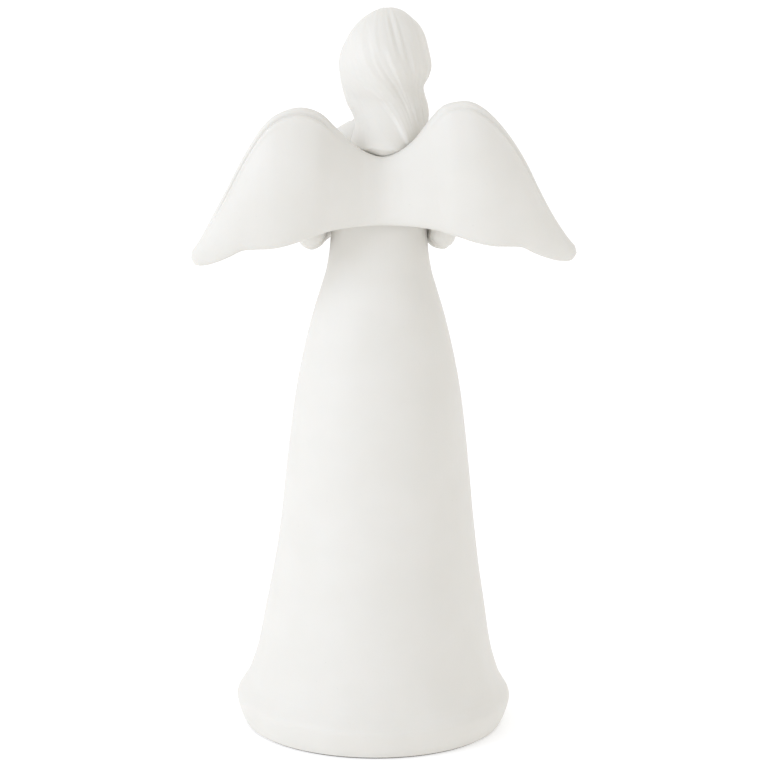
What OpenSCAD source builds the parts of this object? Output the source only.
// Standing angel figurine in cast resin, seen as its separate castings, pins and foot.
// The figure faces -Y, its left is +X, and the origin is the middle of the face it rests on.

/* [Body] */
// Height from the resting face to the top of the hair
total_h = 220; // [215:1:225]
// Radius of the skirt at the widest part of the hem
hem_r = 41.8; // [40:0.1:43]
// Wall left at the bottom lip of the hollow robe
lip_r = 28; // [26:0.5:29]

// How far the waist stands to the figure's right of the foot
sway = 0.6; // [0:0.1:1]

/* [Wings] */
// Wing tip to wing tip
wing_span = 115; // [110:1:120]
// Roll of the wing casting, right wing up
wing_roll = 0.4; // [0:0.2:3]
// How far the wings sit to the figure's right
wing_shift = 0.4; // [0:0.1:1]
// How much higher the right wing's lobe is
lobe_rise = 1.4; // [0:0.1:3]
// How much shorter the left wing's tip is
tip_trim = 1.3; // [0:0.1:2]
// Fullness of the left wing's shoulder
shoulder_fill = 1; // [0:0.1:2]
// Spacing of the two wing pins
wing_pin_gap = 8; // [6:0.5:9]

/* [Head] */
// Turn of the head towards the figure's right
head_turn = 14; // [0:1:20]
// Tilt of the head towards the figure's right
head_tilt = 5; // [0:1:6]

/* [Pins] */
// Diameter of the neck and wing pins
pin_d = 2; // [1.6:0.1:2.2]
// Diameter of the arm pins
arm_pin_d = 1.6; // [1.2:0.1:1.8]
// Glue gap round a pin and at each glued face
glue = 0.05; // [0.03:0.01:0.1]

/* [Foot] */
// Thickness of the felt pad
pad_h = 0.5; // [0.3:0.1:1.5]
// Radius of the felt pad
pad_r = 38.4; // [36:0.2:38.6]

/* [Hidden] */

RESIN = [0.93, 0.92, 0.90];
FELT = [0.80, 0.79, 0.76];
STEEL = [0.62, 0.63, 0.65];
SEGMENTS = 48;
ROUND_FN = 64;

rebate_r = lip_r + 3;
rebate_h = 3;
plug_h = 8;
collar_z = 189;
seat_y = 10.6;
shoulder_x = 15.5;
shoulder_z = 177;
shoulder_y = -0.5;
wing_pin_z = 167;
pin_depth = 5;
neck_pin_z0 = 178;
neck_pin_z1 = 199;
head_pivot = [-0.6, 0.3, collar_z];

// ---- shared functions ----

// Catmull-Rom value between b and c
function blend(a, b, c, d, t) =
    b + 0.5 * t * (c - a + t * (2 * a - 5 * b + 4 * c - d + t * (3 * (b - c) + d - a)));

// Rows of a table with n steps between each two, on a smooth curve through them
function smooth_rows(rows, n) =
    let (last = len(rows) - 1)
    [for (i = [0 : last], k = [0 : i < last ? n - 1 : 0])
        blend(rows[max(i - 1, 0)], rows[i], rows[min(i + 1, last)], rows[min(i + 2, last)], k / n)];

function unit(v) = v / norm(v);

function ellipse_ring(x, y, z, rx, ry, n = SEGMENTS) =
    [for (i = [0 : n - 1]) [x + rx * cos(i * 360 / n), y + ry * sin(i * 360 / n), z]];

// A closed skin over rings that all have the same number of points
module loft(rings) {
    n = len(rings[0]);
    m = len(rings);
    sides = [for (j = [0 : m - 2], i = [0 : n - 1])
        let (a = j * n + i, b = j * n + (i + 1) % n)
        each [[a, b + n, b], [a, a + n, b + n]]];
    ends = [for (i = [1 : n - 2]) each
        [[0, i, i + 1], [(m - 1) * n, (m - 1) * n + i + 1, (m - 1) * n + i]]];
    polyhedron(points = [for (r = rings) each r], faces = concat(sides, ends), convexity = 6);
}

// Rings square to a path; each row is [x, y, z, radius across, radius along "over"]
function swept_rings(rows, over, n) =
    [for (i = [0 : len(rows) - 1])
        let (here = [rows[i][0], rows[i][1], rows[i][2]],
             a = rows[max(i - 1, 0)],
             b = rows[min(i + 1, len(rows) - 1)],
             along = unit([b[0] - a[0], b[1] - a[1], b[2] - a[2]]),
             u = unit(cross(over, along)),
             v = cross(along, u))
        [for (k = [0 : n - 1])
            here + rows[i][3] * cos(k * 360 / n) * u + rows[i][4] * sin(k * 360 / n) * v]];

// Mirror image about the figure's middle plane; side is 1 for its left, -1 for its right
module on_side(side) {
    mirror([side < 0 ? 1 : 0, 0, 0]) children();
}

// ---- robe ----

// Outer skin: [height, half width, depth over width, middle y]
robe_skin = [
    [pad_h, hem_r - 2.6, 1, 0], [2.6, hem_r - 1.5, 1, 0], [5.2, hem_r - 0.6, 1, 0],
    [7.8, hem_r, 1, 0], [9.6, hem_r - 0.4, 1, 0],
    [12, 40.0, 1, 0], [15, 38.4, 1, 0], [21.5, 36.3, 0.99, 0], [28, 34.9, 0.98, 0],
    [38, 33.3, 0.97, 0], [50, 31.3, 0.95, 0], [64, 29.5, 0.93, 0], [79, 28.0, 0.90, 0],
    [91, 26.7, 0.88, 0], [104, 25.0, 0.85, 0], [116, 22.7, 0.82, 0], [127, 20.0, 0.79, 0],
    [135, 17.6, 0.77, 0], [141, 15.8, 0.76, 0], [147, 14.8, 0.76, 0], [153, 14.4, 0.77, -0.2],
    [159, 14.3, 0.80, -0.4], [165, 14.6, 0.82, -0.6], [171, 15.2, 0.79, -0.6],
    [175, 17.0, 0.66, -0.4], [178.6, 17.2, 0.58, -0.1], [181.6, 15.2, 0.55, 0.1], [184, 11.8, 0.58, 0.2],
    [186.2, 8.2, 0.72, 0.3], [187.8, 5.9, 0.9, 0.3], [collar_z, 5.2, 1, 0.3]];

// Hollow inside: [height, half width, depth over width]
robe_hollow = [
    [148, 4.0, 0.78], [145, 9.0, 0.78], [139, 12.2, 0.78], [127, 16.0, 0.79], [104, 21.2, 0.84],
    [72, 24.8, 0.91], [47, 27.9, 0.95], [28, 31.2, 0.98], [15, 34.2, 1], [9.5, 33.4, 1],
    [6, lip_r, 1], [pad_h, lip_r, 1]];

// Middle of the robe at a height: out to one side above the hem, and back at the shoulders
function sway_at(z) = -sway * (z < 100 ? min(1, max(0, z - 9) / 50) : min(1, max(0, 178 - z) / 15));

function robe_rings(grow) =
    [for (s = robe_skin) ellipse_ring(sway_at(s[0]), s[3], s[0], s[1] + grow, s[1] * s[2] + grow)];

module robe() {
    outer = robe_rings(0);
    inner = [for (s = robe_hollow) ellipse_ring(sway_at(s[0]), 0, s[0], s[1], s[1] * s[2])];
    color(RESIN) difference() {
        robe_shell(outer, inner);
        translate([0, 0, -1]) cylinder(r = rebate_r, h = pad_h + rebate_h + 1, $fn = ROUND_FN);
        translate([-50, seat_y, 157]) cube([100, 10, 21]);
        pin_hole(head_pivot, [0, 0, 1], neck_pin_z0 - collar_z, 2);
        for (side = [-1, 1]) {
            wing_pin_hole(side);
            on_side(side) shoulder_seat();
        }
    }
}

// Outer rings upward, then the hollow downward, joined at the lip
module robe_shell(outer, inner) {
    n = SEGMENTS;
    m = len(outer);
    all = len(outer) + len(inner);
    strips = [for (j = [0 : all - 1]) if (j != m - 1) [j, (j + 1) % all]];
    sides = [for (s = strips, i = [0 : n - 1])
        let (a = s[0] * n + i, b = s[0] * n + (i + 1) % n,
             c = s[1] * n + i, d = s[1] * n + (i + 1) % n)
        each [[a, d, b], [a, c, d]]];
    top = (m - 1) * n;
    roof = m * n;
    ends = [for (i = [1 : n - 2]) each
        [[top, top + i + 1, top + i], [roof, roof + i, roof + i + 1]]];
    polyhedron(points = [for (r = concat(outer, inner)) each r],
               faces = concat(sides, ends), convexity = 8);
}

// A round hole for a pin, from "from" to "to" along the axis
module pin_hole(at, axis, from, to, d = pin_d) {
    turn = norm(cross([0, 0, 1], axis)) > 0.5 ? [0, axis[0] * 90, 0] - [axis[1] * 90, 0, 0] : [0, 0, 0];
    translate(at) rotate(turn)
        translate([0, 0, from]) cylinder(d = d + 2 * glue, h = to - from, $fn = ROUND_FN);
}

module wing_pin_hole(side) {
    pin_hole([side * wing_pin_gap / 2, seat_y, wing_pin_z], [0, 1, 0], -pin_depth - 3, pin_depth);
}

// Flat face and hole where an arm is glued on
module shoulder_seat() {
    translate([shoulder_x, shoulder_y, shoulder_z - 1]) rotate([0, 90, 0])
        cylinder(r = 8, h = 5, $fn = ROUND_FN);
    arm_pin_hole();
}

module arm_pin_hole() {
    pin_hole([shoulder_x, shoulder_y, shoulder_z], [1, 0, 0], -pin_depth - 2, pin_depth, arm_pin_d);
}

// ---- foot ----

module base_plug() {
    color(RESIN) rotate_extrude($fn = ROUND_FN) polygon([
        [0, pad_h], [rebate_r - glue, pad_h], [rebate_r - glue, pad_h + rebate_h - glue],
        [lip_r - 0.3, pad_h + rebate_h - glue], [lip_r - 1, pad_h + plug_h], [0, pad_h + plug_h]]);
}

module base_pad() {
    color(FELT) cylinder(r = pad_r, h = pad_h - glue, $fn = ROUND_FN);
}

// ---- pins ----

module neck_pin() {
    color(STEEL) translate([head_pivot[0], head_pivot[1], neck_pin_z0 + 0.5])
        cylinder(d = pin_d, h = neck_pin_z1 - neck_pin_z0 - 1, $fn = ROUND_FN);
}

module wing_pin(side) {
    color(STEEL) translate([side * wing_pin_gap / 2, seat_y - pin_depth - 2.5, wing_pin_z])
        rotate([-90, 0, 0]) cylinder(d = pin_d, h = 2 * pin_depth + 2, $fn = ROUND_FN);
}

module left_wing_pin() wing_pin(1);
module right_wing_pin() wing_pin(-1);

module arm_pin(side) {
    color(STEEL) on_side(side)
        translate([shoulder_x - pin_depth - 1.5, shoulder_y, shoulder_z])
            rotate([0, 90, 0]) cylinder(d = arm_pin_d, h = 2 * pin_depth + 1, $fn = ROUND_FN);
}

module left_arm_pin() arm_pin(1);
module right_arm_pin() arm_pin(-1);

// ---- arms in their sleeves ----

// Sleeve from the domed shoulder round the elbow to its open mouth: [x, y, z, radius, radius over]
sleeve_path = [
    [19.6, -0.5, 182.9, 1.0, 1.0], [19.7, -0.5, 182.3, 2.8, 2.8], [19.9, -0.4, 180.8, 4.3, 4.3],
    [20.1, -0.2, 178.6, 5.1, 5.1], [20.3, 0.2, 175.5, 5.4, 5.4], [20.4, 1.0, 171.5, 5.2, 5.2],
    [20.2, 2.2, 167.0, 5.0, 4.9], [19.9, 3.3, 162.5, 4.7, 4.6], [19.6, 4.0, 157.8, 4.4, 4.4],
    [19.5, 3.2, 154.2, 4.2, 4.1], [19.5, 0.6, 151.9, 4.2, 4.1], [19.1, -4.0, 151.2, 4.4, 4.4],
    [17.5, -10.0, 152.3, 5.0, 5.1], [13.4, -14.8, 155.2, 5.3, 6.2], [8.8, -17.8, 159.0, 5.9, 8.0]];
sleeve_hollow = [
    [8.8, -17.8, 159.0, 5.0, 7.0], [12.8, -15.2, 155.7, 3.7, 4.4], [14.8, -13.2, 154.0, 2.6, 2.6]];
sleeve_over = [0.25, 0.55, 0.8];
sleeve_n = 28;

module arm(side) {
    outer = swept_rings(smooth_rows(sleeve_path, 2), sleeve_over, sleeve_n);
    inner = swept_rings([for (i = [2 : -1 : 0]) sleeve_hollow[i]], sleeve_over, sleeve_n);
    color(RESIN) on_side(side) difference() {
        loft(concat(outer, [for (i = [2 : -1 : 0]) inner[i]]));
        translate([shoulder_x + glue - 10, shoulder_y - 10, shoulder_z - 9]) cube([10, 20, 18]);
        arm_pin_hole();
    }
}

module left_arm() arm(1);
module right_arm() arm(-1);

// ---- hands, palm to palm ----

// Wrist to fingertips: [x, y, z, half thickness, half width]
hand_path = [
    [14.6, -13.4, 154.2, 2.2, 2.2], [11.8, -15.6, 156.4, 2.2, 2.3], [8.4, -17.7, 159.4, 2.2, 2.4],
    [5.6, -19.4, 162.4, 2.1, 2.7], [3.6, -20.4, 165.4, 2.0, 3.3], [2.5, -20.9, 168.6, 1.9, 3.8],
    [2.1, -21.0, 172.0, 1.8, 3.8], [1.9, -20.7, 176.0, 1.65, 3.4], [1.7, -20.0, 180.0, 1.45, 2.8],
    [1.5, -19.2, 183.4, 1.1, 1.8], [1.4, -18.8, 184.8, 0.6, 0.9]];

module hand(side) {
    color(RESIN) on_side(side) loft(swept_rings(smooth_rows(hand_path, 2), [0, -1, 0.25], 20));
}

module left_hand() hand(1);
module right_hand() hand(-1);

// ---- wings, one casting across the back ----

// Ribs from the spine to the tip:
// [lower x, lower z, upper x, upper z, middle y, thickness, camber]
wing_ribs = [
    [0, 157.2, 0, 177.7, 13.9, 6.6, 0], [5.5, 157.1, 5, 179.3, 14.6, 7.0, 0.2],
    [11, 156.9, 9.5, 182.6, 16.3, 7.4, 0.6], [16.5, 156.2, 14, 187.2, 18.2, 7.8, 1.0],
    [22, 154.8, 18.8, 191.9, 20.4, 8.0, 1.4], [28, 153.0, 24.3, 193.7, 21.4, 7.8, 1.6],
    [33, 152.0, 29.8, 191.9, 21.4, 7.4, 1.6], [37.5, 151.7, 34.5, 188.1, 20.8, 6.8, 1.4],
    [41.5, 151.2, 38.6, 182.9, 19.8, 6.2, 1.2], [45.3, 149.2, 42.6, 176.2, 18.6, 5.6, 0.9],
    [49.3, 147.4, 46.5, 168.2, 17.2, 5.0, 0.6], [53.2, 146.2, 50.6, 160.4, 15.8, 4.4, 0.3],
    [56.4, 146.2, 54.8, 153.8, 14.8, 3.6, 0.1], [58, 148.2, 57.4, 150.6, 14.4, 2.0, 0]];
wing_n = 28;

// How much of each difference between the two wings a rib takes
function lobe_share(r) = exp(-pow((r[2] - 26) / 12, 2));
function tip_share(r) = pow(max(0, (r[0] - 42) / 16), 2);
function shoulder_share(r) = exp(-pow((r[2] - 35) / 8, 2));

// A rib as the left (side 1) or right (side -1) wing has it
function side_rib(r, side) =
    let (trim = side > 0 ? tip_trim * tip_share(r) : -tip_trim / 3 * tip_share(r),
         fill = side > 0 ? shoulder_fill * shoulder_share(r) : 0,
         rise = side > 0 ? 0 : lobe_rise * lobe_share(r))
    [r[0] - trim, r[1], r[2] - trim + fill, r[3] + rise, r[4], r[5], r[6]];

// One closed rib section: L edge, back, U edge, front
function rib_ring(r, side, stretch) =
    [for (i = [0 : wing_n - 1])
        let (a = i * 360 / wing_n,
             up = (1 - cos(a)) / 2,
             swell = r[5] / 2 * sign(sin(a)) * pow(abs(sin(a)), 0.75),
             x = side * stretch * (r[0] + (r[2] - r[0]) * up) - wing_shift,
             z = r[1] + (r[3] - r[1]) * up,
             y = r[4] + r[6] * sin(180 * up) + swell)
        [x, y, z - x * tan(wing_roll)]];

module wings() {
    stretch = wing_span / 116;
    rows = smooth_rows(wing_ribs, 2);
    right = [for (i = [len(rows) - 1 : -1 : 1]) rib_ring(side_rib(rows[i], -1), -1, stretch)];
    left = [for (r = rows) rib_ring(side_rib(r, 1), 1, stretch)];
    color(RESIN) difference() {
        loft(concat(right, left));
        translate([-50, seat_y - 20, 150]) cube([100, 20 + glue, 40]);
        for (side = [-1, 1]) wing_pin_hole(side);
    }
}

// ---- head ----

// Neck, jaw and skull: [height over the collar, half width, front y, back y]
head_skin = [
    [glue, 4.7, -4.3, 4.9], [3.4, 4.4, -4.3, 4.7], [5.0, 4.9, -7.6, 4.8], [6.2, 5.7, -10.4, 5.2],
    [8.6, 7.2, -11.4, 6.6], [12, 8.5, -11.7, 8.8], [16, 9.3, -11.6, 10.3], [20, 9.6, -11.2, 10.8],
    [24, 9.0, -9.8, 9.8], [27, 7.0, -7.2, 7.4], [28.8, 4.2, -4.3, 4.4], [29.6, 1.4, -1.5, 1.5]];

function head_rings(grow) =
    [for (s = smooth_rows(head_skin, 2))
        ellipse_ring(0, (s[2] + s[3]) / 2, s[0], s[1] + grow, (s[3] - s[2]) / 2 + grow, 36)];

module head_place() {
    translate(head_pivot) rotate([0, -head_tilt, 0]) rotate([0, 0, -head_turn]) children();
}

module head() {
    color(RESIN) difference() {
        head_place() loft(head_rings(0));
        translate([-50, -50, collar_z - 5]) cube([100, 100, 5 + glue]);
        pin_hole(head_pivot, [0, 0, 1], -2, neck_pin_z1 - collar_z);
    }
}

// ---- hair ----

hair_half = [13.4, 14.2, 18];
hair_mid = [0, 1, total_h - collar_z - hair_half[2] + 0.1];
lock_r = 3.2;
lock_top = 26;
// Where the locks leave the crown, as angles from the left ear round the back
lock_starts = [10, 36, 62, 88, 114, 140, 166];
lock_sweep = 50;
// The gathered end over the right shoulder: points and radii in the head's own frame
hair_tail = [
    [6, 8.4, 2, 3.4], [0.5, 8.6, -3, 3.8], [-6, 7.0, -4.6, 4.2], [-10.6, 3, -3.6, 4.0],
    [-11.6, -3, -4.4, 3.0], [-10.8, -9, -8.6, 2.7], [-9.4, -11.8, -14.5, 1.6]];
HAIR_FN = 16;

module ball(b) {
    translate([b[0], b[1], b[2]]) sphere(r = b[3], $fn = HAIR_FN);
}

module lock(balls) {
    for (i = [0 : len(balls) - 2]) hull() {
        ball(balls[i]);
        ball(balls[i + 1]);
    }
}

// Middle of a lock just under the hair's surface, at an angle and a height
function on_scalp(a, z) =
    let (k = sqrt(max(0, 1 - pow((z - hair_mid[2]) / hair_half[2], 2))))
    [(hair_half[0] * k - lock_r + 0.4) * cos(a), hair_mid[1] + (hair_half[1] * k - lock_r + 0.4) * sin(a),
     z, lock_r];

function lock_path(start) =
    [for (z = [lock_top : -5 : 1]) on_scalp(min(start + lock_sweep * (lock_top - z) / lock_top, 185), z)];

module hair() {
    color(RESIN) difference() {
        head_place() {
            translate(hair_mid) scale(hair_half / hair_half[2]) sphere(r = hair_half[2], $fn = 40);
            for (a = lock_starts) lock(lock_path(a));
            lock(hair_tail);
        }
        head_place() loft(head_rings(glue));
        head_place() translate([-9.4, -30, -6]) cube([18.8, 24, hair_mid[2] + 15]);
        head_place() translate([-7, -30, -30]) cube([27, 26, 30]);
        translate(head_pivot - [0, 0, 1]) cylinder(r = 4.8, h = 2, $fn = ROUND_FN);
        loft(robe_rings(glue));
    }
}

robe();
base_plug();
base_pad();
neck_pin();
head();
hair();
wings();
left_wing_pin();
right_wing_pin();
left_arm();
right_arm();
left_arm_pin();
right_arm_pin();
left_hand();
right_hand();
